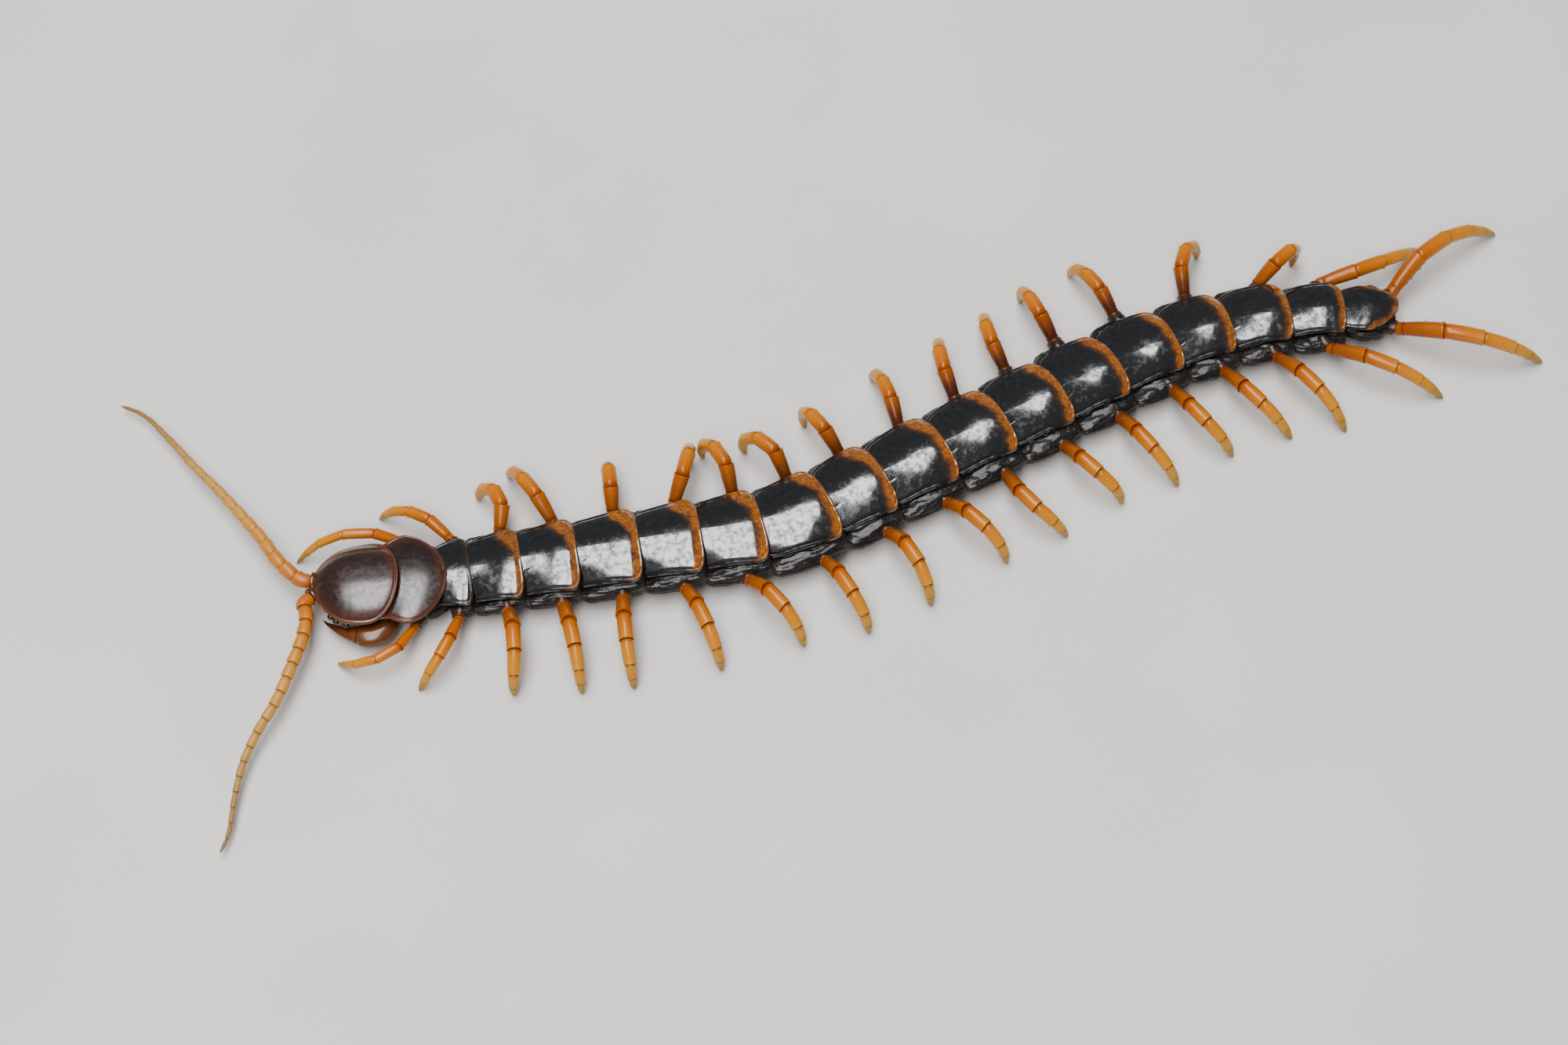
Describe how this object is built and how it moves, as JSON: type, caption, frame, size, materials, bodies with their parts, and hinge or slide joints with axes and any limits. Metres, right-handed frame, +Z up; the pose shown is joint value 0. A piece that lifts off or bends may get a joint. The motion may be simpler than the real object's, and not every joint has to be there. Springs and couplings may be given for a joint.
{
  "type": "giant centipede",
  "caption": "Still life-size giant centipede standing on its legs, long plated body in a shallow bend, feelers spread ahead, last legs trailing behind.",
  "frame": {"origin": "on the floor, under the middle of the whole animal's box", "axes": "+X towards the tail, +Y towards the animal's right side, +Z up"},
  "size_m": [0.2588, 0.1271, 0.011],
  "materials": {
    "head_shell": "polished dark mahogany cuticle with faint leathery grain",
    "front_plate": "polished dark red-brown cuticle, thin orange rear rim",
    "trunk_shell": "polished near-black plates with an orange-brown band along each rear edge, dark wrinkled sides",
    "poison_claw": "polished brown-orange cuticle with dark tips",
    "feeler": "satin orange to olive cuticle, finely hairy towards the tips",
    "leg": "polished translucent orange-yellow cuticle, browner at the root"
  },
  "bodies": {
    "root": {"head": "head_shell", "antenna_left": "feeler", "antenna_right": "feeler", "forcipule_base": "poison_claw", "forcipule_left": "poison_claw", "forcipule_right": "poison_claw", "segment_01": "front_plate", "leg_left_01": "leg", "leg_right_01": "leg", "segment_02": "trunk_shell", "leg_left_02": "leg", "leg_right_02": "leg", "segment_03": "trunk_shell", "leg_left_03": "leg", "leg_right_03": "leg", "segment_04": "trunk_shell", "leg_left_04": "leg", "leg_right_04": "leg", "segment_05": "trunk_shell", "leg_left_05": "leg", "leg_right_05": "leg", "segment_06": "trunk_shell", "leg_left_06": "leg", "leg_right_06": "leg", "segment_07": "trunk_shell", "leg_left_07": "leg", "leg_right_07": "leg", "segment_08": "trunk_shell", "leg_left_08": "leg", "leg_right_08": "leg", "segment_09": "trunk_shell", "leg_left_09": "leg", "leg_right_09": "leg", "segment_10": "trunk_shell", "leg_left_10": "leg", "leg_right_10": "leg", "segment_11": "trunk_shell", "leg_left_11": "leg", "leg_right_11": "leg", "segment_12": "trunk_shell", "leg_left_12": "leg", "leg_right_12": "leg", "segment_13": "trunk_shell", "leg_left_13": "leg", "leg_right_13": "leg", "segment_14": "trunk_shell", "leg_left_14": "leg", "leg_right_14": "leg", "segment_15": "trunk_shell", "leg_left_15": "leg", "leg_right_15": "leg", "segment_16": "trunk_shell", "leg_left_16": "leg", "leg_right_16": "leg", "segment_17": "trunk_shell", "leg_left_17": "leg", "leg_right_17": "leg", "segment_18": "trunk_shell", "leg_left_18": "leg", "leg_right_18": "leg"}
  },
  "joints": []
}
